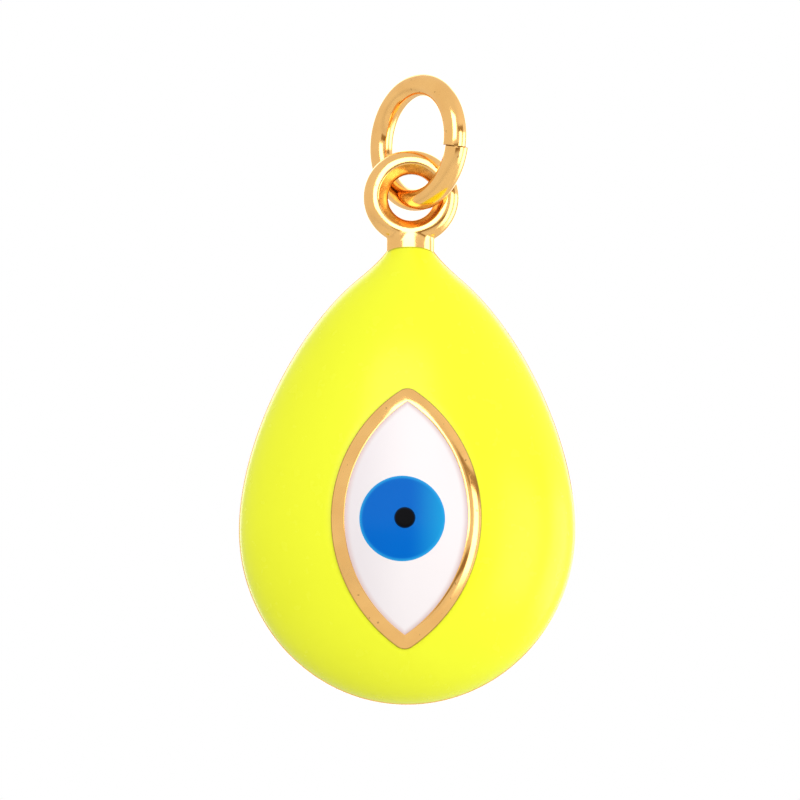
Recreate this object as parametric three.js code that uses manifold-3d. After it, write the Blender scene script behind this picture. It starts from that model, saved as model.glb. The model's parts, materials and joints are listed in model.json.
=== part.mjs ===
// A hollow, puffed teardrop charm with an enamelled eye. It hangs by a cast loop from an open jump ring.
// Millimetres. +Z is up and -Y is the front, where the eye is. The origin is the inside top of the jump ring,
// where a chain or a cord would carry it.
import * as THREE from "three";
import { mergeVertices } from "three/addons/utils/BufferGeometryUtils.js";
import Module from "manifold-3d";

const wasm = await Module();
wasm.setup();

// ---------------------------------------------------------------- driving dimensions

const GAP = 0.02; // between pieces that touch

// The jump ring: round wire bent to a circle, its ends almost closed.
const RING_OUTSIDE = 6.0; // diameter
const RING_WIRE = 1.0; // diameter
const RING_YAW = 49.8; // degrees that its right side is turned to the front
const RING_LEAN = -1.5; // degrees that its top leans to the right
const RING_CUT = -11.5; // degrees above the horizontal, on the right, where the ends meet
const RING_CUT_GAP = 0.02; // between the two ends
const RING_END_STEP = 0.13; // how far sideways the two ends are out of line

// The hanging loop, relative to the ring's centre.
const LOOP_ACROSS = -0.29;
const LOOP_BACK = 0.33;
const LOOP_DOWN = 2.37;
const LOOP_OUTSIDE = 4.15; // diameter
const LOOP_WIRE = 1.07; // diameter
const HOLE_RADIUS = 1.005; // the hole's side of the wire is flattened to a bevel at the front and the back
const BEVEL_TOP = { radius: 1.4, depth: 0.516 };
const BEVEL_FOOT = { radius: 1.04, depth: 0.1 };
const STEM_WIDTH = 2.06; // the stem's section is an ellipse, as deep as the loop's wire
const PEG_DIAMETER = 1.0;
const PEG_LENGTH = 1.75; // below the stem

// Heights from here on are below the loop's centre.
const STEM_TOP = 1.5;
const COLLAR_TOP = 2.1; // where the drop's outline starts, inside the stem
const SEAT = 3.0; // where the stem stands on the shells
const SHOULDER = 3.6; // where the collar's hollow curve turns into the shoulder's round one
const CAVITY_TOP = 4.3;
const BELLY = 14.49; // the widest level
const BOTTOM = 22.08;
const COLLAR_REACH = 1.56; // length of the collar curve's handle

// Half of the drop's outline from the front, and from the side. Angles are in degrees from the vertical.
const FROM_FRONT = {
  collar: 0.92,
  shoulder: 2.28,
  slope: 49.7,
  shoulderReach: 3.57,
  bellyReach: 3.73,
  belly: 7.28,
};
const FROM_SIDE = {
  collar: 0.5,
  shoulder: 1.6,
  slope: 35,
  shoulderReach: 3.2,
  bellyReach: 4.6,
  belly: 4.0,
};

// The drop's layers. Its outlines are those of the seam band's edge, a little outside the enamel.
const BAND_PROUD = 0.06;
const BAND_THICKNESS = 0.3;
const ENAMEL_THICKNESS = 0.35;
const WALL_THICKNESS = 0.6; // of the brass shells

// The eye, on the front. Its outline is two arcs that meet in points above and below.
const EYE_ACROSS = -0.05; // centre, to the right of the loop's centre
const EYE_DOWN = 14.33; // centre, below the loop's centre
const EYE_HALF_WIDTH = 2.63; // of the white
const EYE_ARC = 6.01; // radius of the white's two sides
const BEZEL_WIDTH = 0.56;
const BEZEL_PROUD = 0.17; // above the enamel
const EYE_PROUD = 0.12; // the white, above the enamel

// The iris and the pupil, from the loop's centre too.
const IRIS = { radius: 1.82, across: -0.22, down: 14.41 };
const IRIS_DEPTH = 0.13;
const PUPIL = { radius: 0.45, across: -0.11, down: 14.38 };
const PUPIL_DEPTH = 0.06;
const DOT_PROUD = 0.01; // how much each colour stands over the one that it lies in

// The solder inside, round the peg.
const SOLDER_REACH = 0.28;
const SOLDER_DROP = 0.3;

// Facets.
const RING_STEPS = 44;
const WIRE_SIDES = 14;
const AROUND = 40; // round the drop: a multiple of four, so that its seam plane falls on corners
const LEVELS = [2, 8, 8]; // collar, shoulder and bottom
const FINE_LEVELS = [12, 40, 60];
const ARC_SEGMENTS = 6; // in each quarter of a turn, or less, of the eye's outline

// Well past the outside of the drop.
const FAR = 30;

// ---------------------------------------------------------------- worked out

const RING_RADIUS = (RING_OUTSIDE - RING_WIRE) / 2;
const RING_INSIDE = RING_OUTSIDE / 2 - RING_WIRE;
const LOOP_RADIUS = (LOOP_OUTSIDE - LOOP_WIRE) / 2;

// How far in from the outlines the layers' outer surfaces lie.
const SKIN = BAND_PROUD;
const METAL = SKIN + ENAMEL_THICKNESS;
const CAVITY = METAL + WALL_THICKNESS;

// How the ring is turned, and where it and the loop are.
const yaw = THREE.MathUtils.degToRad(RING_YAW);
const lean = THREE.MathUtils.degToRad(RING_LEAN);
const ringTurn = new THREE.Euler(0, lean, -yaw, "YZX");
const ringAxis = new THREE.Vector3(0, 1, 0).applyEuler(ringTurn);
const ringUp = new THREE.Vector3(0, 0, 1).projectOnPlane(ringAxis).normalize();
const ringCentre = ringUp.multiplyScalar(-RING_INSIDE);
const loopCentre = ringCentre.clone().add(new THREE.Vector3(LOOP_ACROSS, LOOP_BACK, -LOOP_DOWN));

// ---------------------------------------------------------------- solids and meshes

// A closed three.js geometry as a solid that can be joined and cut.
function solid(geometry) {
  const bare = geometry.clone();
  bare.deleteAttribute("normal");
  bare.deleteAttribute("uv");
  const merged = mergeVertices(bare, 1e-4);
  const vertProperties = new Float32Array(merged.attributes.position.array);
  const triVerts = new Uint32Array(merged.index.array);
  return new wasm.Manifold(new wasm.Mesh({ numProp: 3, vertProperties, triVerts }));
}

function geometryOf(made) {
  const mesh = made.getMesh();
  const geometry = new THREE.BufferGeometry();
  geometry.setAttribute("position", new THREE.BufferAttribute(new Float32Array(mesh.vertProperties), 3));
  geometry.setIndex(new THREE.BufferAttribute(new Uint32Array(mesh.triVerts), 1));
  geometry.computeVertexNormals();
  return geometry;
}

// A box given by its lowest and highest corners.
function box(low, high) {
  const size = high.clone().sub(low);
  const geometry = new THREE.BoxGeometry(size.x, size.y, size.z);
  const middle = low.clone().add(high).divideScalar(2);
  return solid(geometry.translate(middle.x, middle.y, middle.z));
}

// Everything above a level.
const above = (z) => box(new THREE.Vector3(-FAR, -FAR, z), new THREE.Vector3(FAR, FAR, FAR));

// Everything between two planes across Y.
const between = (y0, y1) => box(new THREE.Vector3(-FAR, y0, -FAR), new THREE.Vector3(FAR, y1, FAR));

// A prism of a shape drawn as seen from the front about the eye's centre, out through the drop's front.
function frontPrism(shape) {
  const geometry = new THREE.ExtrudeGeometry(shape, {
    depth: FAR,
    bevelEnabled: false,
    curveSegments: ARC_SEGMENTS,
  });
  return solid(geometry.rotateX(Math.PI / 2).translate(EYE_ACROSS, 0, -EYE_DOWN));
}

// A round rod that stands upright between two levels.
function upright(radius, bottom, top) {
  const geometry = new THREE.CylinderGeometry(radius, radius, top - bottom, 2 * WIRE_SIDES);
  return solid(geometry.rotateX(Math.PI / 2).translate(0, 0, (top + bottom) / 2));
}

// ---------------------------------------------------------------- the drop's layers

// One half outline, from the collar down to the lowest point on the axis.
function outline({ collar, shoulder, slope, shoulderReach, bellyReach, belly }) {
  const angle = THREE.MathUtils.degToRad(slope);
  const along = new THREE.Vector2(Math.sin(angle), -Math.cos(angle));
  const turn = new THREE.Vector2(shoulder, -SHOULDER);
  const hollow = turn.clone().addScaledVector(along, -COLLAR_REACH);
  const round = turn.clone().addScaledVector(along, shoulderReach);
  const path = new THREE.Path();
  path.moveTo(collar, -COLLAR_TOP);
  path.quadraticCurveTo(hollow.x, hollow.y, turn.x, turn.y);
  path.bezierCurveTo(round.x, round.y, belly, bellyReach - BELLY, belly, -BELLY);
  path.absellipse(0, -BELLY, belly, BOTTOM - BELLY, 0, -Math.PI / 2, true);
  return path;
}

const frontOutline = outline(FROM_FRONT);
const sideOutline = outline(FROM_SIDE);

// The outline moved inwards, square to itself.
function insetPoints(path, inset, levels) {
  const points = [];
  path.curves.forEach((curve, piece) => {
    for (let i = piece === 0 ? 0 : 1; i <= levels[piece]; i++) {
      const point = curve.getPoint(i / levels[piece]);
      const tangent = curve.getTangent(i / levels[piece]);
      points.push(new THREE.Vector2(point.x + inset * tangent.y, point.y - inset * tangent.x));
    }
  });
  points[points.length - 1].x = 0;
  return points;
}

// The half width of a line of points at a level.
function halfAt(points, z) {
  const below = points.findIndex((point) => point.y <= z);
  if (below <= 0) return points[below === 0 ? 0 : points.length - 1].x;
  const low = points[below];
  const high = points[below - 1];
  return THREE.MathUtils.mapLinear(z, low.y, high.y, low.x, high.x);
}

// The whole drop, as a solid whose surface lies a given distance in from the seam band's edge.
// Every level is an ellipse, as wide as the front outline and as deep as the side outline.
function layer(inset) {
  const onAxis = 0.05;
  const kept = (point, i, all) => point.x > onAxis || i === all.length - 1;
  const wide = insetPoints(frontOutline, inset, LEVELS).filter(kept);
  const deep = insetPoints(sideOutline, inset, FINE_LEVELS).filter(kept);
  const profile = [new THREE.Vector2(0, wide[0].y), ...wide].reverse();
  const geometry = new THREE.LatheGeometry(profile, AROUND);
  geometry.rotateX(Math.PI / 2);
  const position = geometry.attributes.position;
  for (let i = 0; i < position.count; i++) {
    const z = position.getZ(i);
    const flatten = halfAt(deep, z) / Math.max(halfAt(wide, z), onAxis);
    position.setY(i, position.getY(i) * flatten);
  }
  return solid(geometry);
}

const front = between(-FAR, -BAND_THICKNESS / 2 - GAP);
const back = between(BAND_THICKNESS / 2 + GAP, FAR);

// ---------------------------------------------------------------- the jump ring

// The wire's centreline: nearly a full circle, whose two ends bend sideways, away from each other.
class RingCurve extends THREE.Curve {
  getPoint(t, target = new THREE.Vector3()) {
    const gap = RING_CUT_GAP / RING_RADIUS;
    const angle = THREE.MathUtils.degToRad(RING_CUT) + gap / 2 + t * (2 * Math.PI - gap);
    const sideways = RING_END_STEP * (t - 0.5) * Math.abs(2 * t - 1);
    return target.set(RING_RADIUS * Math.cos(angle), sideways, RING_RADIUS * Math.sin(angle));
  }
}

function wireSection(diameter) {
  const section = new THREE.Shape();
  section.absarc(0, 0, diameter / 2, 0, 2 * Math.PI);
  return section;
}

function jumpRing() {
  const geometry = new THREE.ExtrudeGeometry(wireSection(RING_WIRE), {
    extrudePath: new RingCurve(),
    steps: RING_STEPS,
    curveSegments: WIRE_SIDES / 2,
    bevelEnabled: false,
  });
  return solid(geometry);
}

// ---------------------------------------------------------------- the hanging loop

function stemPrism(clearance) {
  const section = new THREE.Shape();
  const halfWidth = STEM_WIDTH / 2 + clearance;
  const halfDepth = LOOP_WIRE / 2 + clearance;
  section.absellipse(0, 0, halfWidth, halfDepth, 0, 2 * Math.PI);
  const geometry = new THREE.ExtrudeGeometry(section, {
    depth: SEAT - STEM_TOP,
    bevelEnabled: false,
    curveSegments: WIRE_SIDES,
  });
  return solid(geometry.translate(0, 0, -SEAT));
}

const pegRod = (clearance) => upright(PEG_DIAMETER / 2 + clearance, -SEAT - PEG_LENGTH, -SEAT + GAP);

// The section of the loop's wire: X is out from the middle of the hole, Y is along its axis.
function loopSection() {
  const start = Math.atan2(BEVEL_TOP.depth, BEVEL_TOP.radius - LOOP_RADIUS);
  const points = [];
  for (let i = 0; i <= WIRE_SIDES; i++) {
    const angle = start - (2 * start * i) / WIRE_SIDES;
    const across = LOOP_RADIUS + (LOOP_WIRE / 2) * Math.cos(angle);
    points.push(new THREE.Vector2(across, (LOOP_WIRE / 2) * Math.sin(angle)));
  }
  points.push(new THREE.Vector2(BEVEL_FOOT.radius, -BEVEL_FOOT.depth));
  points.push(new THREE.Vector2(HOLE_RADIUS, 0));
  points.push(new THREE.Vector2(BEVEL_FOOT.radius, BEVEL_FOOT.depth));
  points.push(points[0].clone());
  return points.reverse();
}

function hangingLoop() {
  const wire = new THREE.LatheGeometry(loopSection(), RING_STEPS);
  return solid(wire).add(stemPrism(0)).add(pegRod(0));
}

// A ring with a triangular section, sloping down from the shells' ceiling to the peg.
function loopSolder() {
  const inner = PEG_DIAMETER / 2 + GAP;
  const top = -CAVITY_TOP - GAP;
  const profile = [
    new THREE.Vector2(inner, top - SOLDER_DROP),
    new THREE.Vector2(inner + SOLDER_REACH, top),
    new THREE.Vector2(inner, top),
    new THREE.Vector2(inner, top - SOLDER_DROP),
  ];
  const geometry = new THREE.LatheGeometry(profile, 2 * WIRE_SIDES);
  return solid(geometry.rotateX(Math.PI / 2));
}

// ---------------------------------------------------------------- shells, band and enamel

const skin = layer(SKIN);
const metal = layer(METAL);
const underEnamel = layer(METAL - GAP);
const cavity = layer(CAVITY).subtract(above(-CAVITY_TOP));
const loopPocket = stemPrism(GAP).add(pegRod(GAP));

function shell(half) {
  const walls = metal.intersect(half).subtract(above(-SEAT - GAP));
  return walls.subtract(cavity).subtract(loopPocket);
}

const enamel = (half) => skin.intersect(half).subtract(underEnamel).subtract(loopPocket);

function seamBand() {
  const slab = between(-BAND_THICKNESS / 2, BAND_THICKNESS / 2);
  return layer(0).intersect(slab).subtract(cavity).subtract(loopPocket).subtract(above(-COLLAR_TOP));
}

// ---------------------------------------------------------------- the eye

// The eye's outline, grown outwards by a margin that rounds its two points.
function eyeShape(margin) {
  const centre = EYE_ARC - EYE_HALF_WIDTH;
  const tip = Math.sqrt(EYE_ARC ** 2 - centre ** 2);
  const angle = Math.atan2(tip, centre);
  const shape = new THREE.Shape();
  shape.absarc(-centre, 0, EYE_ARC + margin, -angle, angle);
  if (margin > 0) shape.absarc(0, tip, margin, angle, Math.PI - angle);
  shape.absarc(centre, 0, EYE_ARC + margin, Math.PI - angle, Math.PI + angle);
  if (margin > 0) shape.absarc(0, -tip, margin, Math.PI + angle, 2 * Math.PI - angle);
  return shape;
}

function eyeBezel() {
  const frame = frontPrism(eyeShape(BEZEL_WIDTH)).subtract(frontPrism(eyeShape(GAP)));
  return layer(SKIN - BEZEL_PROUD).intersect(frame).subtract(underEnamel);
}

// A round dot of colour, grown by a margin, from one layer of the drop's front down to another.
function dot({ radius, across, down }, margin, top, bottom) {
  const rod = new THREE.CylinderGeometry(radius + margin, radius + margin, FAR, 2 * WIRE_SIDES);
  rod.translate(across, -FAR / 2, -down);
  return layer(top).subtract(layer(bottom)).intersect(solid(rod));
}

const eyeTop = SKIN - EYE_PROUD;
const irisTop = eyeTop - DOT_PROUD;
const irisBed = irisTop + IRIS_DEPTH;
const pupilTop = irisTop - DOT_PROUD;
const pupilBed = pupilTop + PUPIL_DEPTH;

const pupil = dot(PUPIL, 0, pupilTop, pupilBed);
const iris = dot(IRIS, 0, irisTop, irisBed).subtract(dot(PUPIL, GAP, pupilTop, pupilBed + GAP));
const irisRecess = dot(IRIS, GAP, irisTop, irisBed + GAP);
const white = layer(eyeTop).intersect(frontPrism(eyeShape(0))).subtract(underEnamel).subtract(irisRecess);

// ---------------------------------------------------------------- the object

const gold = { color: 0xe6b45e, roughness: 0.12, metalness: 1 };
const materials = {
  jump_ring: gold,
  hanging_loop: gold,
  seam_band: gold,
  eye_bezel: gold,
  front_shell: { color: 0xc9a04e, roughness: 0.35, metalness: 1 },
  back_shell: { color: 0xc9a04e, roughness: 0.35, metalness: 1 },
  loop_solder: { color: 0xb9b4a6, roughness: 0.4, metalness: 1 },
  front_enamel: { color: 0xf8ff3c, roughness: 0.08, metalness: 0 },
  back_enamel: { color: 0xf8ff3c, roughness: 0.08, metalness: 0 },
  eye_white: { color: 0xfefdff, roughness: 0.08, metalness: 0 },
  eye_iris: { color: 0x1870cd, roughness: 0.08, metalness: 0 },
  eye_pupil: { color: 0x0d0d12, roughness: 0.08, metalness: 0 },
};

function named(name, made) {
  const mesh = new THREE.Mesh(geometryOf(made), new THREE.MeshStandardMaterial(materials[name]));
  mesh.name = name;
  return mesh;
}

const ring = named("jump_ring", jumpRing());
ring.position.copy(ringCentre);
ring.rotation.copy(ringTurn);

const drop = new THREE.Group();
drop.position.copy(loopCentre);
drop.add(
  named("hanging_loop", hangingLoop()),
  named("loop_solder", loopSolder()),
  named("front_shell", shell(front)),
  named("back_shell", shell(back)),
  named("seam_band", seamBand()),
  named("front_enamel", enamel(front).subtract(frontPrism(eyeShape(BEZEL_WIDTH + GAP)))),
  named("back_enamel", enamel(back)),
  named("eye_bezel", eyeBezel()),
  named("eye_white", white),
  named("eye_iris", iris),
  named("eye_pupil", pupil),
);

const charm = new THREE.Group();
charm.add(ring, drop);

export default charm;
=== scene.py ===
import json
import math

import bmesh
import bpy
import numpy as np
from mathutils import Matrix, Vector

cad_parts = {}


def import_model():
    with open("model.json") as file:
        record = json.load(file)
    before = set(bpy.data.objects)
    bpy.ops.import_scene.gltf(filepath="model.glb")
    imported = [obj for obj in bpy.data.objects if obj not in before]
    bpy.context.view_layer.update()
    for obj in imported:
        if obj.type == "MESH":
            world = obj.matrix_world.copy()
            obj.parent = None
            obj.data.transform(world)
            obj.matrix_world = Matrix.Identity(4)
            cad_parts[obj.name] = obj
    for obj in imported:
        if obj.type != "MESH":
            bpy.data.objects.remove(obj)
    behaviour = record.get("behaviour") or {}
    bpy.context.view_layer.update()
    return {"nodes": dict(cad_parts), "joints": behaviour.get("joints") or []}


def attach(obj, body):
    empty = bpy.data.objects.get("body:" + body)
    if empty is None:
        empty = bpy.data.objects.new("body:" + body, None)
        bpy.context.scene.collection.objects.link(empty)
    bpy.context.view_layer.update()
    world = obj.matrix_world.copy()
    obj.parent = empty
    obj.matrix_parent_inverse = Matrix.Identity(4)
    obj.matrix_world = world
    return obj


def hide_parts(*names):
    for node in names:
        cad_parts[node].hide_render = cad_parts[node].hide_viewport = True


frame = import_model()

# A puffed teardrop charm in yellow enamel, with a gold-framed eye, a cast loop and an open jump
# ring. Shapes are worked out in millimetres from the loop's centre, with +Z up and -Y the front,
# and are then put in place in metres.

MM = 0.001

# ---------------------------------------------------------------- dimensions, in millimetres

RING_OUTSIDE = 6.0
RING_WIRE = 1.0
RING_YAW = 49.8
RING_LEAN = -1.5
RING_CUT = -11.5
RING_CUT_GAP = 0.006
RING_END_STEP = 0.13

LOOP_OUTSIDE = 4.15
LOOP_WIRE = 1.07
STEM_WIDTH = 2.06
PEG_DIAMETER = 1.0
PEG_LENGTH = 1.75
PEG_OVERLAP = 0.2  # how far the peg runs up into the stem

STEM_TOP = 1.5
COLLAR_TOP = 2.1
SEAT = 3.0
SHOULDER = 3.6
BELLY = 14.49
BOTTOM = 22.08
COLLAR_REACH = 1.56
FROM_FRONT = dict(collar=0.92, shoulder=2.28, slope=49.7, reach=3.57, belly_reach=3.73, belly=7.28)
FROM_SIDE = dict(collar=0.5, shoulder=1.6, slope=35, reach=3.2, belly_reach=4.6, belly=4.0)

BAND_PROUD = 0.06
BAND_BUFFED = 0.033  # how far the band's edge is buffed down
BAND_THICKNESS = 0.3
ENAMEL_THICKNESS = 0.35
GAP = 0.02

EYE_ACROSS = -0.05
EYE_DOWN = 14.33
EYE_HALF_WIDTH = 2.63
EYE_ARC = 6.01
BEZEL_WIDTH = 0.56
BEZEL_PROUD = 0.17
EYE_PROUD = 0.12
EYE_FOOT = -0.3  # the underside of the frame and of the white, from the enamel's surface
IRIS = dict(radius=1.82, across=-0.22, down=14.41)
IRIS_PROUD, IRIS_DEPTH = EYE_PROUD + 0.012, 0.13
PUPIL = dict(radius=0.45, across=-0.11, down=14.38)
PUPIL_PROUD, PUPIL_DEPTH = EYE_PROUD + 0.022, 0.07

HINGE = frame["joints"][0]["pos_m"]
LOOP_CENTRE = np.array(HINGE) / MM

# ---------------------------------------------------------------- meshes

NO_EDGE = 9.0  # millimetres, past the reach of any edge's colour
SMOOTH_BELOW = 40  # degrees
MERGE = 2e-4  # millimetres


def put(name, points, faces, material, body, replaced, edge=None):
    """A closed mesh from points in millimetres in the CAD frame, as a piece that rides on a body.

    Edge is each point's distance from the piece's edge, where its material lays painted shade,
    or on the iris and pupil a rim colour. Without it there is none.
    """
    mesh = bpy.data.meshes.new(name)
    mesh.from_pydata((np.asarray(points) * MM).tolist(), [], [list(map(int, f)) for f in faces])
    far = np.full(len(points), NO_EDGE) if edge is None else np.asarray(edge, float).ravel()
    mesh.attributes.new("edge", "FLOAT", "POINT").data.foreach_set("value", far)
    shape = bmesh.new()
    shape.from_mesh(mesh)
    bmesh.ops.remove_doubles(shape, verts=shape.verts, dist=MERGE * MM)
    bmesh.ops.recalc_face_normals(shape, faces=shape.faces)
    shape.to_mesh(mesh)
    shape.free()
    mesh.shade_smooth()
    mesh.set_sharp_from_angle(angle=math.radians(SMOOTH_BELOW))
    piece = bpy.data.objects.new(name, mesh)
    bpy.context.scene.collection.objects.link(piece)
    piece.data.materials.append(material)
    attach(piece, body)
    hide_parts(replaced)


def grid_faces(rows, columns, wrap_rows=False, wrap_columns=False):
    """Quads over points laid out row by row."""
    faces = []
    for i in range(rows if wrap_rows else rows - 1):
        below = (i + 1) % rows
        for j in range(columns if wrap_columns else columns - 1):
            right = (j + 1) % columns
            a, b = i * columns + j, i * columns + right
            c, d = below * columns + right, below * columns + j
            faces.append((a, b, c, d))
    return faces


def slab(outer, inner, wrap):
    """Points and faces of the solid between two grids of the same size, which may wrap round."""
    rows, columns = outer.shape[:2]
    count = rows * columns
    faces = grid_faces(rows, columns, wrap_rows=wrap)
    faces += [tuple(count + v for v in reversed(f)) for f in faces]
    edges = [[i * columns + j for i in range(rows)] for j in (0, columns - 1)]
    if wrap:
        edges = [edge + edge[:1] for edge in edges]
    else:
        edges += [list(range(i * columns, (i + 1) * columns)) for i in (0, rows - 1)]
    for edge in edges:
        faces += [(a, b, count + b, count + a) for a, b in zip(edge, edge[1:])]
    return np.concatenate([outer.reshape(-1, 3), inner.reshape(-1, 3)]), faces


def resample(line, count, closed=False):
    """Points at even distances along a line of points."""
    if closed:
        line = np.vstack([line, line[:1]])
    along = np.concatenate([[0], np.cumsum(np.linalg.norm(np.diff(line, axis=0), axis=1))])
    wanted = np.linspace(0, along[-1], count, endpoint=not closed)
    return np.stack([np.interp(wanted, along, line[:, k]) for k in range(line.shape[1])], 1)


# ---------------------------------------------------------------- the drop's layers

SAMPLES = 3000  # points on each curve of an outline


def outline(shape, inset):
    """Half of the drop's outline, moved inwards: points (across, up) from the top down."""
    angle = math.radians(shape["slope"])
    along = np.array([math.sin(angle), -math.cos(angle)])
    top = np.array([shape["collar"], -COLLAR_TOP])
    turn = np.array([shape["shoulder"], -SHOULDER])
    belly = np.array([shape["belly"], -BELLY])
    t = np.linspace(0, 1, SAMPLES)[:, None]
    hollow = turn - COLLAR_REACH * along
    collar = (1 - t) ** 2 * top + 2 * t * (1 - t) * hollow + t**2 * turn
    outwards, level = turn + shape["reach"] * along, belly + np.array([0, shape["belly_reach"]])
    upper = (
        (1 - t) ** 3 * turn
        + 3 * t * (1 - t) ** 2 * outwards
        + 3 * t**2 * (1 - t) * level
        + t**3 * belly
    )
    swing = t * math.pi / 2
    lower = np.hstack([shape["belly"] * np.cos(swing), -BELLY - (BOTTOM - BELLY) * np.sin(swing)])
    points = np.vstack([collar, upper[1:], lower[1:]])
    tangent = np.gradient(points, axis=0)
    tangent /= np.linalg.norm(tangent, axis=1)[:, None]
    tangent[-1] = (-1, 0)
    moved = points + inset * np.stack([tangent[:, 1], -tangent[:, 0]], 1)
    moved[-1, 0] = 0
    return moved[(moved[:, 0] > 1e-3) | (np.arange(len(moved)) == len(moved) - 1)]


class Layer:
    """The drop's surface a given distance in from its outlines. Every level of it is an ellipse."""

    def __init__(self, inset):
        self.wide = outline(FROM_FRONT, inset)
        self.deep = outline(FROM_SIDE, inset)

    def half_width(self, z):
        return np.interp(-z, -self.wide[:, 1], self.wide[:, 0])

    def half_depth(self, z):
        return np.interp(-z, -self.deep[:, 1], self.deep[:, 0])

    def height(self, x, z):
        """How far the surface stands in front of the seam plane."""
        part = np.clip(x / np.maximum(self.half_width(z), 1e-6), -1, 1)
        return self.half_depth(z) * np.sqrt(1 - part**2)

    def cut(self, y, count):
        """The closed line in which the surface meets a plane across Y, as (across, up)."""
        z = self.wide[:, 1]
        depth = self.half_depth(z)
        inside = depth > y
        right = self.wide[inside, 0] * np.sqrt(1 - (y / depth[inside]) ** 2)
        bottom = self.deep[::-1][: SAMPLES // 2]
        lowest = np.interp(y, bottom[:, 0], bottom[:, 1])
        side = np.vstack([np.stack([right, z[inside]], 1), [[0, lowest]]])
        return resample(np.vstack([side, side[-2::-1] * [-1, 1]]), count, closed=True)


skin = Layer(BAND_PROUD)
bed = Layer(BAND_PROUD + ENAMEL_THICKNESS - GAP)


def eye_line(margin, arc_count, tip_count):
    """The eye's outline grown by a margin: two arcs and two rounded points, as (across, up)."""
    centre = EYE_ARC - EYE_HALF_WIDTH
    tip = math.sqrt(EYE_ARC**2 - centre**2)
    angle = math.atan2(tip, centre)
    pieces = (
        (-centre, 0, EYE_ARC + margin, -angle, angle, arc_count),
        (0, tip, margin, angle, math.pi - angle, tip_count),
        (centre, 0, EYE_ARC + margin, math.pi - angle, math.pi + angle, arc_count),
        (0, -tip, margin, math.pi + angle, 2 * math.pi - angle, tip_count),
    )
    line = []
    for x, z, radius, start, end, count in pieces:
        a = np.linspace(start, end, count, endpoint=False)
        line.append(np.stack([x + radius * np.cos(a), z + radius * np.sin(a)], 1))
    return np.vstack(line) + np.array([EYE_ACROSS, -EYE_DOWN])


def circle(dot, around):
    """Points on a dot's edge, as (across, up), in other points' directions from its centre."""
    centre = np.array([dot["across"], -dot["down"]])
    ray = around - centre
    return centre + dot["radius"] * ray / np.linalg.norm(ray, axis=1)[:, None]


def front_surface(layer, flat, proud):
    """Points on the drop's front over flat points (across, up), raised by an amount."""
    x, z = flat[..., 0], flat[..., 1]
    return np.stack([x, -(layer.height(x, z) + proud), z], -1) + LOOP_CENTRE


def between(inner, outer, steps):
    """Points on straight lines from one closed line to another, at fractions of the way."""
    return inner[:, None, :] + (outer - inner)[:, None, :] * np.asarray(steps)[None, :, None]


# ---------------------------------------------------------------- materials


def principled(name):
    material = bpy.data.materials.new(name)
    material.use_nodes = True
    tree = material.node_tree
    return material, tree, tree.nodes["Principled BSDF"]


def noise(tree, scale, detail=2.0, roughness=0.5, stretch=(1, 1, 1)):
    """Solid noise in the piece's own space. Scale is in cycles per metre."""
    place = tree.nodes.new("ShaderNodeTexCoord")
    mapping = tree.nodes.new("ShaderNodeMapping")
    mapping.inputs["Scale"].default_value = stretch
    made = tree.nodes.new("ShaderNodeTexNoise")
    made.inputs["Scale"].default_value = scale
    made.inputs["Detail"].default_value = detail
    made.inputs["Roughness"].default_value = roughness
    tree.links.new(place.outputs["Object"], mapping.inputs["Vector"])
    tree.links.new(mapping.outputs["Vector"], made.inputs["Vector"])
    return made.outputs["Fac"]


def ramp(tree, source, stops):
    """A colour ramp from (position, colour) stops."""
    made = tree.nodes.new("ShaderNodeValToRGB")
    elements = made.color_ramp.elements
    while len(elements) > 1:
        elements.remove(elements[-1])
    for i, (position, colour) in enumerate(stops):
        element = elements[0] if i == 0 else elements.new(position)
        element.position = position
        element.color = (*colour, 1)
    tree.links.new(source, made.inputs["Fac"])
    return made.outputs["Color"]


def grey(tree, source, low, high, start=0.3, end=0.7):
    return ramp(tree, source, [(start, (low,) * 3), (end, (high,) * 3)])


def blotched(tree, source, dark, light):
    """Two colours over a noise, each in about half of it."""
    return ramp(tree, source, [(0.35, dark), (0.65, light)])


def bump(tree, heights):
    """Bumps laid one over another, each (source, height in metres)."""
    normal = None
    for source, height in heights:
        made = tree.nodes.new("ShaderNodeBump")
        made.inputs["Strength"].default_value = 1.0
        made.inputs["Distance"].default_value = height
        tree.links.new(source, made.inputs["Height"])
        if normal:
            tree.links.new(normal, made.inputs["Normal"])
        normal = made.outputs["Normal"]
    return normal


def mixed(tree, factor, low, high):
    """Two colours mixed, each a socket or a colour."""
    made = tree.nodes.new("ShaderNodeMix")
    made.data_type = "RGBA"
    tree.links.new(factor, made.inputs["Factor"])
    for name, value in (("A", low), ("B", high)):
        socket = next(i for i in made.inputs if i.name == name and i.type == "RGBA")
        if isinstance(value, tuple):
            socket.default_value = (*value, 1)
        else:
            tree.links.new(value, socket)
    return next(o for o in made.outputs if o.type == "RGBA")


def at_edge(tree, reach, start=0.0):
    """One at the piece's edge, fading out between two distances from it in millimetres."""
    place = tree.nodes.new("ShaderNodeAttribute")
    place.attribute_name = "edge"
    fade = tree.nodes.new("ShaderNodeMapRange")
    fade.interpolation_type = "SMOOTHSTEP"
    fade.inputs["From Min"].default_value = start
    fade.inputs["From Max"].default_value = reach
    fade.inputs["To Min"].default_value = 1
    fade.inputs["To Max"].default_value = 0
    tree.links.new(place.outputs["Fac"], fade.inputs["Value"])
    return fade.outputs["Result"]


def across(tree, low, high):
    """Zero to one over a stretch of X, in metres."""
    place, split = tree.nodes.new("ShaderNodeTexCoord"), tree.nodes.new("ShaderNodeSeparateXYZ")
    tree.links.new(place.outputs["Object"], split.inputs["Vector"])
    made = tree.nodes.new("ShaderNodeMapRange")
    made.interpolation_type = "SMOOTHSTEP"
    made.inputs["From Min"].default_value = low
    made.inputs["From Max"].default_value = high
    tree.links.new(split.outputs["X"], made.inputs["Value"])
    return made.outputs["Result"]


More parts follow.
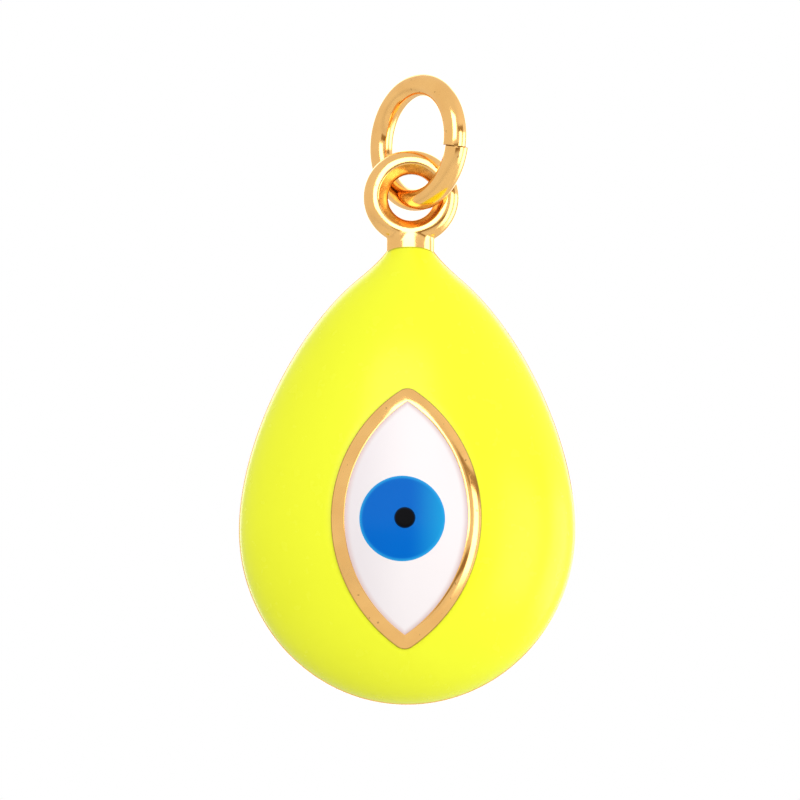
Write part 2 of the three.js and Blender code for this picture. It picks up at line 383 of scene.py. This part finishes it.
def gold(name, light, dark, roughness=(0.08, 0.16), wave=2.2e-5, edge=None, deep=None):
    """Polished gold plate over a slightly lumpy casting, with drifting colour, hairlines and pits.

    Wave is the height in metres of the casting's lumps. Edge is the colour of painted shade at the
    piece's edge, its reach in millimetres and the edge's roughness. Deep is a darker painted shade
    past the edge, and the two distances between which it comes in.
    """
    drift, lumps, ripples, smears, speckle, hairlines = 900, 650, 2400, 2600, 5200, 9000
    ripple_height, hairline_height = 1.5e-6, 2.5e-7
    pit_shade, painted_shade_blotch = 0.6, 0.72
    material, tree, shader = principled(name)
    tone = blotched(tree, noise(tree, drift, 3.0), dark, light)
    pits = grey(tree, noise(tree, speckle, 0.0), 0, 1, 0.82, 0.86)
    tone = mixed(tree, pits, tone, tuple(pit_shade * c for c in dark))
    haze = grey(tree, noise(tree, smears, 4.0, 0.6), *roughness)
    hair = noise(tree, hairlines, 3.0, 0.6, (1.0, 1.0, 0.08))
    heights = [
        (noise(tree, lumps, 1.0), wave),
        (noise(tree, ripples, 1.0), ripple_height),
        (hair, hairline_height),
    ]
    # Painted shade: near the edge the colour goes over to the edge colour, in darker and lighter
    # blotches.
    if edge:
        colour, reach, rough = edge
        near = at_edge(tree, reach)
        grain = noise(tree, speckle, 3.0, 0.6)
        shaded = tuple(painted_shade_blotch * c for c in colour)
        tone = mixed(tree, near, tone, blotched(tree, grain, shaded, colour))
        if deep:
            colour, start, end = deep
            tone = mixed(tree, at_edge(tree, end, start), tone, colour)
        haze = mixed(tree, near, haze, (rough,) * 3)
    tree.links.new(tone, shader.inputs["Base Color"])
    tree.links.new(haze, shader.inputs["Roughness"])
    shader.inputs["Metallic"].default_value = 1.0
    tree.links.new(bump(tree, heights), shader.inputs["Normal"])
    return material


def enamel(name, light, dark, gloss=0.12, roughness=(0.12, 0.2), edge=None, side=None):
    """Poured resin enamel: a slight drift of colour, smears of gloss and a soft orange peel.

    Edge is a colour and its reach from the piece's edge, painted shade on some enamels; side is
    another colour and the stretch of X over which it comes in, painted light that makes one side
    lighter.
    """
    drift, peel, smears, grain = 220, 420, 1500, 5000
    peel_height, grain_height = 5e-6, 6e-8
    material, tree, shader = principled(name)
    tone = blotched(tree, noise(tree, drift, 2.0), dark, light)
    if side:
        colour, low, high = side
        tone = mixed(tree, across(tree, low, high), tone, colour)
    if edge:
        colour, reach = edge
        tone = mixed(tree, at_edge(tree, reach), tone, colour)
    tree.links.new(tone, shader.inputs["Base Color"])
    haze = grey(tree, noise(tree, smears, 3.0), *roughness)
    tree.links.new(haze, shader.inputs["Roughness"])
    shader.inputs["Specular IOR Level"].default_value = gloss
    heights = [(noise(tree, peel, 1.0), peel_height), (noise(tree, grain, 2.0), grain_height)]
    tree.links.new(bump(tree, heights), shader.inputs["Normal"])
    return material


PLATE, PLATE_DARK = (1.0, 0.59, 0.205), (0.95, 0.54, 0.18)
UNPLATED = (0.3, 0.5)  # roughness
# Painted shade: dark brown over the last 0.035 mm of the ring's cut ends, for the shade in the
# narrow cut; the ends are also rougher.
gold_wire = gold("gold_wire", PLATE, PLATE_DARK, edge=((0.4, 0.2, 0.06), 0.035, 0.35))
# Painted shade and reflection: the bevel goes redder and the hole's wall deep red-brown, standing
# in for shade and gold reflecting gold in the hole.
loop_gold = gold(
    "loop_gold",
    PLATE,
    PLATE_DARK,
    edge=((0.92, 0.6, 0.23), 0.04, 0.2),
    deep=((0.55, 0.25, 0.05), -0.3, -0.2),
)
# Painted shadow: a dark brown line along the frame's outer edge, where it meets the enamel.
bezel_gold = gold(
    "bezel_gold", PLATE, PLATE_DARK, wave=1.2e-5, edge=((0.5, 0.26, 0.07), 0.04, 0.25)
)
gold_plate = gold("gold_plate", PLATE, PLATE_DARK)
raw_brass = gold("raw_brass", (0.62, 0.42, 0.16), (0.5, 0.32, 0.11), roughness=UNPLATED)
solder = gold("solder", (0.5, 0.48, 0.44), (0.38, 0.36, 0.33), roughness=UNPLATED, wave=3e-5)

EYE_LEFT, EYE_RIGHT = LOOP_CENTRE[0] * MM - 0.0024, LOOP_CENTRE[0] * MM + 0.0024
IRIS_LEFT, IRIS_RIGHT = -0.3 * MM, EYE_RIGHT - 0.0004
# Painted shadow: dark olive within 0.08 mm of the eye's frame and of the stem, where the enamel
# meets the metal.
yellow = enamel(
    "yellow_enamel",
    (0.775, 0.825, 0.024),
    (0.76, 0.81, 0.023),
    gloss=0.21,
    roughness=(0.24, 0.28),
    edge=((0.4, 0.36, 0.02), 0.08),
)
# Painted shade and reflection: pinker and darker within 0.28 mm of the frame. Painted light:
# lighter rightwards, from the eye's left end to X zero.
white = enamel(
    "white_enamel",
    (0.69, 0.65, 0.675),
    (0.68, 0.64, 0.665),
    edge=((0.62, 0.5, 0.5), 0.28),
    side=((0.76, 0.72, 0.735), EYE_LEFT, 0.0),
)
# Painted light: a lighter blue over the iris's right part.
blue = enamel(
    "blue_enamel",
    (0.0008, 0.12, 0.5),
    (0.0006, 0.11, 0.48),
    gloss=0.03,
    edge=((0.02, 0.3, 0.62), 0.18),
    side=((0.012, 0.3, 0.6), IRIS_LEFT, IRIS_RIGHT),
)
black = enamel(
    "black_enamel",
    (0.003, 0.003, 0.004),
    (0.002, 0.002, 0.003),
    gloss=0.02,
    edge=((0.003, 0.02, 0.06), 0.08),
)

# ---------------------------------------------------------------- the jump ring


def jump_ring():
    yaw, lean = math.radians(RING_YAW), math.radians(RING_LEAN)
    turn = np.array(Matrix.Rotation(lean, 3, "Y") @ Matrix.Rotation(-yaw, 3, "Z"))
    own_axis = np.array([0, 1, 0])
    axis = turn @ own_axis
    up = np.array([0, 0, 1]) - axis * axis[2]
    inside = RING_OUTSIDE / 2 - RING_WIRE
    centre = -inside * up / np.linalg.norm(up)
    middle = (RING_OUTSIDE - RING_WIRE) / 2
    # The ends' edges are rounded by a quarter turn of this radius.
    edge = 0.03
    steps, sides, rounding = 420, 56, 5
    length = 2 * math.pi * middle - RING_CUT_GAP
    # From the flat end outwards, then the whole wire, then the other end.
    start = [
        (edge * (1 - math.cos(a)), RING_WIRE / 2 - edge * (1 - math.sin(a)))
        for a in np.linspace(0, math.pi / 2, rounding + 1)
    ]
    stations = [(0.0, 0.0)] + start
    stations += [(s, RING_WIRE / 2) for s in np.linspace(edge, length - edge, steps)[1:-1]]
    stations += [(length - s, r) for s, r in reversed([(0.0, 0.0)] + start)]
    points, edge_distance = [], []
    for s, r in stations:
        t = s / length
        # Distance from the cut ends, for the painted shade there.
        edge_distance += [min(s, length - s)] * sides
        angle = math.radians(RING_CUT) + (RING_CUT_GAP / 2 + s) / middle
        out = np.array([math.cos(angle), 0, math.sin(angle)])
        sideways = RING_END_STEP * (t - 0.5) * abs(2 * t - 1)
        core = middle * out + np.array([0, sideways, 0])
        for a in np.linspace(0, 2 * math.pi, sides, endpoint=False):
            spoke = math.cos(a) * out + math.sin(a) * own_axis
            points.append(turn @ (core + r * spoke) + centre)
    faces = grid_faces(len(stations), sides, wrap_columns=True)
    put("ring_wire", points, faces, gold_wire, "ring", "jump_ring", edge_distance)


jump_ring()

# ---------------------------------------------------------------- the hanging loop


def blend_of(a, b, width):
    """The smooth union of two distance fields."""
    mix = np.clip(0.5 + 0.5 * (b - a) / width, 0, 1)
    return b + (a - b) * mix - width * mix * (1 - mix)


# The hole's side of the wire is cut to these: (radius, distance from the middle plane).
HOLE_FACETS = ((1.4, 0.516), (1.04, 0.1), (1.005, 0.0))


def loop_field(p):
    """Distance to the loop's surface, roughly, at points from the loop's centre."""
    x, y, z = p[..., 0], p[..., 1], p[..., 2]
    middle = (LOOP_OUTSIDE - LOOP_WIRE) / 2
    across, deep = np.hypot(x, z), np.abs(y)
    torus = np.hypot(across - middle, y) - LOOP_WIRE / 2
    for (r0, y0), (r1, y1) in zip(HOLE_FACETS, HOLE_FACETS[1:]):
        length = math.hypot(r1 - r0, y1 - y0)
        facet = ((across - r0) * (y1 - y0) - (deep - y0) * (r1 - r0)) / length
        torus = np.maximum(torus, facet)
    a, b = STEM_WIDTH / 2, LOOP_WIRE / 2
    share = np.hypot(x / a, y / b)
    slope = np.hypot(x / a**2, y / b**2)
    wall = share * (share - 1) / np.maximum(slope, 1e-3)
    stem = np.maximum(wall, np.maximum(z + STEM_TOP, -z - SEAT))
    ends = np.maximum(z + SEAT - PEG_OVERLAP, -z - SEAT - PEG_LENGTH)
    peg = np.maximum(np.hypot(x, y) - PEG_DIAMETER / 2, ends)
    # No fillet at the crest, where the stem runs on from the wire, and a full one down the sides.
    # The left side was finished smoother than the right.
    least, most, crest, outer_edge, drop = 0.012, 0.22, 0.1, 1.1, 0.5
    start, run = np.where(x < 0, 1.4, 1.5), np.where(x < 0, 0.5, 0.6)
    down = np.clip((-z - start) / drop, 0, 1)
    aside = np.clip((np.abs(x) - crest) / run, 0, 1)
    fillet = down**2 * (3 - 2 * down) * aside**2 * (3 - 2 * aside)
    width = least + most * fillet * np.clip(1 - (x / outer_edge) ** 4, 0, 1)
    return np.minimum(blend_of(torus, stem, width), peg)


SETTLING_STEPS, SETTLING_SHARE = 4, 0.8


def surface_net(field, low, high, pitch):
    """A closed quad mesh of the zero level of a field."""
    axes = [np.arange(a, b + pitch, pitch) for a, b in zip(low, high)]
    lattice = np.stack(np.meshgrid(*axes, indexing="ij"), -1)
    value = field(lattice)
    inside = value < 0
    shape = tuple(n - 1 for n in value.shape)
    total, hits = np.zeros(shape + (3,)), np.zeros(shape)

    def corner(array, offset):
        return array[tuple(slice(o, o + n) for o, n in zip(offset, shape))]

    for axis in range(3):
        step = [0, 0, 0]
        step[axis] = 1
        others = [k for k in range(3) if k != axis]
        for i in (0, 1):
            for j in (0, 1):
                first = [0, 0, 0]
                first[others[0]], first[others[1]] = i, j
                second = [f + s for f, s in zip(first, step)]
                fa, fb = corner(value, first), corner(value, second)
                crossed = (fa < 0) != (fb < 0)
                part = np.where(crossed, fa / np.where(crossed, fa - fb, 1), 0)
                pa, pb = corner(lattice, first), corner(lattice, second)
                total += np.where(crossed[..., None], pa + (pb - pa) * part[..., None], 0)
                hits += crossed
    active = hits > 0
    number = np.full(shape, -1)
    number[active] = np.arange(active.sum())
    points = total[active] / hits[active][:, None]
    faces = []
    for axis in range(3):
        a, b = [k for k in range(3) if k != axis]
        first = [slice(1, -1)] * 3
        first[axis] = slice(0, -1)
        second = list(first)
        second[axis] = slice(1, None)
        crossed = inside[tuple(first)] != inside[tuple(second)]
        cells = np.argwhere(crossed)
        cells[:, a] += 1
        cells[:, b] += 1
        quad = []
        for da, db in ((0, 0), (-1, 0), (-1, -1), (0, -1)):
            cell = cells.copy()
            cell[:, a] += da
            cell[:, b] += db
            quad.append(number[tuple(cell.T)])
        faces.append(np.stack(quad, 1))
    for _ in range(SETTLING_STEPS):
        points = onto(field, points)
    return points, np.concatenate(faces)


def onto(field, points, nudge=1e-4):
    """Points moved onto a field's zero level."""
    here = field(points)
    slope = np.stack([(field(points + nudge * axis) - here) / nudge for axis in np.eye(3)], 1)
    steepness = np.maximum((slope**2).sum(1), 1e-3)
    return points - SETTLING_SHARE * here[:, None] * slope / steepness[:, None]


def hanging_loop():
    spare, pitch, rim = 0.15, 0.045, 0.04
    reach = LOOP_OUTSIDE / 2 + spare
    low = (-reach, -LOOP_WIRE / 2 - spare, -SEAT - PEG_LENGTH - spare)
    high = (reach, LOOP_WIRE / 2 + spare, reach)
    points, faces = surface_net(loop_field, low, high, pitch)
    # The painted shade and reflection of the hole is full from just inside the bevel's outer edge.
    inside = np.hypot(points[:, 0], points[:, 2]) - (HOLE_FACETS[0][0] - rim)
    points = points + LOOP_CENTRE
    put("loop_cast", points, faces, loop_gold, "drop", "hanging_loop", inside)


hanging_loop()

# ---------------------------------------------------------------- enamel and band

SEAM = BAND_THICKNESS / 2 + GAP
EDGE_DIP = 0.035  # how far the enamel sinks where it meets the metal
EDGE_REACH = 0.16


def dip(distance):
    """How far the enamel stands above its level at a distance from its edge: it sinks there."""
    return -EDGE_DIP * np.exp(-((distance / EDGE_REACH) ** 2))


def front_enamel():
    around, out, under_frame, crowding = 520, 72, 0.03, 0.9
    frame_edge = eye_line(BEZEL_WIDTH - under_frame, 400, 120)
    centre = np.array([EYE_ACROSS, -EYE_DOWN])
    layers, from_edge = [], []
    for layer in (skin, bed):
        rim = layer.cut(SEAM, around)
        ray = rim - centre
        bearing = np.arctan2(ray[:, 1], ray[:, 0])
        edge_ray = frame_edge - centre
        edge_bearing = np.arctan2(edge_ray[:, 1], edge_ray[:, 0])
        order = np.argsort(edge_bearing)
        edge_far = np.linalg.norm(edge_ray, axis=1)
        far = np.interp(bearing, edge_bearing[order], edge_far[order], period=2 * math.pi)
        start = centre + far[:, None] * ray / np.linalg.norm(ray, axis=1)[:, None]
        steps = np.sin(np.linspace(0, 1, out) ** crowding * math.pi / 2)
        flat = between(start, rim, steps)
        gone = np.linalg.norm(flat - start[:, None, :], axis=2)
        proud = dip(gone) if layer is skin else 0
        layers.append(front_surface(layer, flat, proud))
        # Distance from the frame and from the stem, for the painted shadow along them.
        x, y, z = np.moveaxis(layers[-1] - LOOP_CENTRE, -1, 0)
        from_stem = (np.hypot(2 * x / STEM_WIDTH, 2 * y / LOOP_WIRE) - 1) * LOOP_WIRE / 2
        from_edge.append(np.minimum(gone, np.where(z > -SEAT, from_stem, NO_EDGE)))
    points, faces = slab(layers[0], layers[1], wrap=True)
    put("enamel_front", points, faces, yellow, "drop", "front_enamel", from_edge)


def back_enamel():
    down, over = 300, 130
    layers, from_edge = [], []
    for layer in (skin, bed):
        line = layer.wide[layer.half_depth(layer.wide[:, 1]) > SEAM]
        line = resample(line, down)
        depth = layer.half_depth(line[:, 1])
        low = np.arcsin(np.clip(SEAM / depth, 0, 1))
        part = np.linspace(0, 1, over)
        angle = low[:, None] + (math.pi - 2 * low)[:, None] * part[None, :]
        x = line[:, :1] * np.cos(angle)
        y = depth[:, None] * np.sin(angle)
        z = np.repeat(line[:, 1:], over, 1)
        layers.append(np.stack([x, y, z], -1) + LOOP_CENTRE)
        # Distance from the top, for the painted shadow along the top edge under the collar.
        from_edge.append(line[0, 1] - z)
    points, faces = slab(layers[0], layers[1], wrap=False)
    put("enamel_back", points, faces, yellow, "drop", "back_enamel", from_edge)


def seam_band():
    # It is less deep in the neck, so that its two sides don't meet.
    deep, neck, share = 0.9, -5, 0.75
    half = outline(FROM_FRONT, BAND_BUFFED)
    line = resample(np.vstack([half, half[-2::-1] * [-1, 1]]), 900)
    tangent = np.gradient(line, axis=0)
    tangent /= np.linalg.norm(tangent, axis=1)[:, None]
    inwards = np.stack([tangent[:, 1], -tangent[:, 0]], 1)
    wall = np.where(line[:, 1] > neck, np.minimum(deep, share * np.abs(line[:, 0])), deep)
    y = BAND_THICKNESS / 2
    corner, turned = 0.05, np.linspace(0, math.pi / 2, 5)
    face = [(corner * (1 - math.sin(a)), -y + corner * (1 - math.cos(a))) for a in turned]
    face += [(b, -c) for b, c in reversed(face)]
    rows = []
    for depth, side in [(None, -y)] + face + [(None, y)]:
        moved = wall if depth is None else np.full(len(line), depth)
        flat = line + inwards * moved[:, None]
        rows.append(np.stack([flat[:, 0], np.full(len(line), side), flat[:, 1]], 1) + LOOP_CENTRE)
    points = np.stack(rows, 1)
    columns = len(rows)
    faces = grid_faces(len(line), columns, wrap_columns=True)
    faces += [tuple(range(columns)), tuple((len(line) - 1) * columns + k for k in range(columns))]
    points = points.reshape(-1, 3)
    put("band_edge", points, faces, gold_plate, "drop", "seam_band")


front_enamel()
back_enamel()
seam_band()

# ---------------------------------------------------------------- the eye

ARC, TIP = 170, 26  # points on each arc and each rounded tip


def eye_bezel():
    # The section falls outwards to a small step. On the right it has a low crown near its inner
    # edge; on the left it was polished to a slope.
    crown, inner_drop, step, crest = 0.2, 0.018, 0.04, 0.012
    slope, lip, lip_drop = 0.62, 0.06, 0.004
    change_across, change_width = 0.5, 1.2
    rounds, crowding, fall = 34, 1.5, 2.2
    inner = eye_line(0, ARC, TIP)
    left = np.clip(0.5 - (inner[:, 0] - EYE_ACROSS - change_across) / change_width, 0, 1)
    left = left**2 * (3 - 2 * left)
    margins = [0.0, 0.0]
    inner_height = BEZEL_PROUD - lip_drop - (inner_drop - lip_drop) * (1 - left) - crest
    heights = [np.full(len(inner), EYE_FOOT), inner_height]
    rise = BEZEL_PROUD - step
    for part in np.linspace(0, 1, rounds) ** crowding:
        past = max(part - crown, 0) / (1 - crown)
        crowned = step + rise * (1 - past**fall) - inner_drop * max(1 - part / crown, 0) ** 2
        sloped = step + rise * (1 - slope * part - (1 - slope) * part**fall)
        sloped -= lip_drop * max(1 - part / lip, 0) ** 2
        margins.append(crest + (BEZEL_WIDTH - crest) * part)
        heights.append(crowned + (sloped - crowned) * left)
    margins.append(BEZEL_WIDTH)
    heights.append(heights[0])
    rows = [
        front_surface(skin, eye_line(margin, ARC, TIP), high)
        for margin, high in zip(margins, heights)
    ]
    points = np.stack(rows, 1)
    faces = grid_faces(points.shape[0], points.shape[1], wrap_rows=True, wrap_columns=True)
    # Distance from the frame's outer edge, for the painted shadow line there.
    edge = np.tile([BEZEL_WIDTH - margin for margin in margins], len(points))
    points = points.reshape(-1, 3)
    put("bezel_frame", points, faces, bezel_gold, "drop", "eye_bezel", edge)


def eye_white():
    # The enamel climbs the frame a little.
    climb, climb_reach = 0.012, 0.09
    edge = eye_line(0, ARC, 1)
    hole = circle(IRIS, edge)
    steps = np.sin(np.linspace(0, 1, 40) * math.pi / 2)
    flat = between(hole, edge, steps)
    left = np.linalg.norm(flat - edge[:, None, :], axis=2)
    top = front_surface(skin, flat, EYE_PROUD + climb * np.exp(-left / climb_reach))
    under = front_surface(skin, flat, EYE_FOOT)
    points, faces = slab(top, under, wrap=True)
    # Distance from the frame, for the painted shade and reflection near it.
    edge = np.stack([left, left])
    put("white_fill", points, faces, white, "drop", "eye_white", edge)


def eye_dot(name, dot, hole, proud, deep, material, node):
    """A dot of colour with a softly rounded edge, and a hole for the next one or none."""
    middle, fall, fall_reach = 0.02, 0.012, 0.03
    angle = np.linspace(0, 2 * math.pi, 160, endpoint=False)
    centre = np.array([dot["across"], -dot["down"]])
    edge = centre + dot["radius"] * np.stack([np.cos(angle), np.sin(angle)], 1)
    inner = circle(hole, edge) if hole else centre + middle * (edge - centre)
    steps = np.sin(np.linspace(0, 1, 26) * math.pi / 2)
    flat = between(inner, edge, steps)
    left = np.linalg.norm(flat - edge[:, None, :], axis=2)
    top = front_surface(skin, flat, proud - fall * np.exp(-left / fall_reach))
    under = front_surface(skin, flat, proud - deep)
    points, faces = slab(top, under, wrap=True)
    if not hole:
        around, out = flat.shape[:2]
        # Without a hole, the wall inside gives way to a face across the middle, above and below.
        faces = [f for f in faces if not all(v % out == 0 for v in f)]
        for start in (0, around * out):
            faces.append(tuple(start + i * out for i in range(around)))
    put(name, points, faces, material, "drop", node, np.stack([left, left]))


eye_bezel()
eye_white()
eye_dot("iris_disc", IRIS, PUPIL, IRIS_PROUD, IRIS_DEPTH, blue, "eye_iris")
eye_dot("pupil_dot", PUPIL, None, PUPIL_PROUD, PUPIL_DEPTH, black, "eye_pupil")

# The CAD's own inner pieces stay, in the metals that they are made of.
METALS = {"front_shell": raw_brass, "back_shell": raw_brass, "loop_solder": solder}
for node, material in METALS.items():
    frame["nodes"][node].data.materials.clear()
    frame["nodes"][node].data.materials.append(material)

# ---------------------------------------------------------------- stage, light and camera

LENS_BELOW = 7.0  # degrees that the camera stands below the charm
LIGHT_DISTANCE = 0.45  # metres

# Name, azimuth, elevation, width and height as seen from the charm in degrees, and radiance.
SOFTBOXES = (
    ("front_box", -5, 20, 33, 36, 3.4),
    ("right_box", 56, -11, 28, 48, 2.6),
    ("side_box", 102, -20, 36, 64, 2.6),
    ("back_box", 180, 20, 60, 60, 1.3),
)

scene = bpy.context.scene
scene.view_settings.view_transform = "Standard"
scene.view_settings.look = "None"


def floor():
    """Pale paper under the charm, fading into the white tent before it reaches a horizon."""
    size, level, fade = 0.3, -0.075, (0.07, 0.18)
    corners = [(-size, -size, 0), (size, -size, 0), (size, size, 0), (-size, size, 0)]
    mesh = bpy.data.meshes.new("floor")
    mesh.from_pydata(corners, [], [(0, 1, 2, 3)])
    plane = bpy.data.objects.new("floor", mesh)
    plane.location = (0, 0, level)
    scene.collection.objects.link(plane)
    material, tree, shader = principled("floor_paper")
    tone = ramp(tree, noise(tree, 40, 2.0), [(0.3, (0.69, 0.69, 0.68)), (0.7, (0.72, 0.72, 0.71))])
    tree.links.new(tone, shader.inputs["Base Color"])
    shader.inputs["Roughness"].default_value = 0.9
    shader.inputs["Specular IOR Level"].default_value = 0.1
    place, reach = tree.nodes.new("ShaderNodeTexCoord"), tree.nodes.new("ShaderNodeVectorMath")
    reach.operation = "LENGTH"
    part, clear = tree.nodes.new("ShaderNodeMapRange"), tree.nodes.new("ShaderNodeBsdfTransparent")
    part.interpolation_type = "SMOOTHSTEP"
    part.inputs["From Min"].default_value, part.inputs["From Max"].default_value = fade
    mix, out = tree.nodes.new("ShaderNodeMixShader"), tree.nodes["Material Output"]
    tree.links.new(place.outputs["Object"], reach.inputs[0])
    tree.links.new(reach.outputs["Value"], part.inputs["Value"])
    tree.links.new(part.outputs["Result"], mix.inputs["Fac"])
    tree.links.new(shader.outputs["BSDF"], mix.inputs[1])
    tree.links.new(clear.outputs["BSDF"], mix.inputs[2])
    tree.links.new(mix.outputs["Shader"], out.inputs["Surface"])
    mesh.materials.append(material)


def direction(azimuth, elevation):
    """Azimuth 0 is the front, 90 the right."""
    a, e = math.radians(azimuth), math.radians(elevation)
    return Vector((math.sin(a) * math.cos(e), -math.cos(a) * math.cos(e), math.sin(e)))


def softbox(name, azimuth, elevation, wide, high, radiance):
    """A soft box that faces the charm and isn't seen by the camera."""
    data = bpy.data.lights.new(name, "AREA")
    data.shape = "RECTANGLE"
    data.size = 2 * LIGHT_DISTANCE * math.tan(math.radians(wide / 2))
    data.size_y = 2 * LIGHT_DISTANCE * math.tan(math.radians(high / 2))
    data.energy = radiance * math.pi * data.size * data.size_y
    light = bpy.data.objects.new(name, data)
    scene.collection.objects.link(light)
    towards = direction(azimuth, elevation)
    light.location = Vector(HINGE) + towards * LIGHT_DISTANCE
    light.rotation_mode = "QUATERNION"
    light.rotation_quaternion = towards.to_track_quat("Z", "Y")
    light.visible_camera = False


def world():
    """A pale tent, darker below, brighter to the right, with a dark slot that the lens looks
    through and a dark edge over the right-hand light.

    Where the camera looks straight at it, it is pure white.
    """
    low_tone, high_tone, right_tone = (0.5, 0.49, 0.48), (0.85, 0.84, 0.83), (0.98, 0.97, 0.96)
    slot_tone, edge_tone = (0.3, 0.21, 0.1), (0.36, 0.27, 0.16)
    made = bpy.data.worlds.new("tent")
    made.use_nodes = True
    tree = made.node_tree
    tree.nodes.clear()
    out = tree.nodes.new("ShaderNodeOutputWorld")
    seen, tent = (tree.nodes.new("ShaderNodeBackground") for _ in range(2))
    path, mix = tree.nodes.new("ShaderNodeLightPath"), tree.nodes.new("ShaderNodeMixShader")
    place = tree.nodes.new("ShaderNodeTexCoord")

    def along(vector, low, high):
        """Zero to one as a direction's share along a vector grows from one value to another."""
        made = tree.nodes.new("ShaderNodeVectorMath")
        made.operation = "DOT_PRODUCT"
        made.inputs[1].default_value = vector
        tree.links.new(place.outputs["Generated"], made.inputs[0])
        part = tree.nodes.new("ShaderNodeMapRange")
        part.interpolation_type = "SMOOTHSTEP"
        part.inputs["From Min"].default_value = low
        part.inputs["From Max"].default_value = high
        tree.links.new(made.outputs["Value"], part.inputs["Value"])
        return part.outputs["Result"]

    def times(a, b):
        made = tree.nodes.new("ShaderNodeMath")
        made.operation = "MULTIPLY"
        tree.links.new(a, made.inputs[0])
        tree.links.new(b, made.inputs[1])
        return made.outputs["Value"]

    def sine(degrees):
        return math.sin(math.radians(degrees))

    up, down, rightwards = (0, 0, 1), (0, 0, -1), (1, 0, 0)
    tone = mixed(tree, along(up, -0.9, -0.1), low_tone, high_tone)
    tone = mixed(tree, along(rightwards, 0.3, 0.9), tone, right_tone)
    # The slot: 3 to 18 degrees down, within 26 degrees of a point near the lens.
    under = times(along(up, sine(-18), sine(-14)), along(down, sine(3), sine(6)))
    ahead = along(direction(14, -LENS_BELOW), sine(90 - 26), sine(90 - 20))
    tone = mixed(tree, times(under, ahead), tone, slot_tone)
    # The edge: 11 to 23 degrees up, within 33 degrees of a point over the light.
    above = times(along(up, sine(11), sine(14)), along(down, -sine(23), -sine(20)))
    beside = along(direction(58, 17), sine(90 - 33), sine(90 - 25))
    tone = mixed(tree, times(above, beside), tone, edge_tone)
    tree.links.new(tone, tent.inputs["Color"])
    seen.inputs["Color"].default_value = (1, 1, 1, 1)
    tree.links.new(path.outputs["Is Camera Ray"], mix.inputs["Fac"])
    tree.links.new(tent.outputs["Background"], mix.inputs[1])
    tree.links.new(seen.outputs["Background"], mix.inputs[2])
    tree.links.new(mix.outputs["Shader"], out.inputs["Surface"])
    scene.world = made


def camera():
    """From a little below, so that the drop leans back as it would when it lies on a table."""
    roll, distance, frame_width = 0.7, 250.0, 34.72
    aim = np.array([-0.375, 1.07, -8.73])
    b, r = math.radians(LENS_BELOW), math.radians(roll)
    ahead = np.array([0, math.cos(b), math.sin(b)])
    right, up = np.array([1, 0, 0]), np.array([0, -math.sin(b), math.cos(b)])
    right, up = right * math.cos(r) + up * math.sin(r), -right * math.sin(r) + up * math.cos(r)
    data = bpy.data.cameras.new("camera")
    data.sensor_width = 36
    data.lens = data.sensor_width * distance / frame_width
    data.clip_start, data.clip_end = 0.01, 20
    made = bpy.data.objects.new("camera", data)
    scene.collection.objects.link(made)
    where = (aim - distance * ahead + LOOP_CENTRE) * MM
    made.matrix_world = Matrix(
        [[right[k], up[k], -ahead[k], where[k]] for k in range(3)] + [[0, 0, 0, 1]]
    )
    scene.camera = made


floor()
world()
for box in SOFTBOXES:
    softbox(*box)
camera()
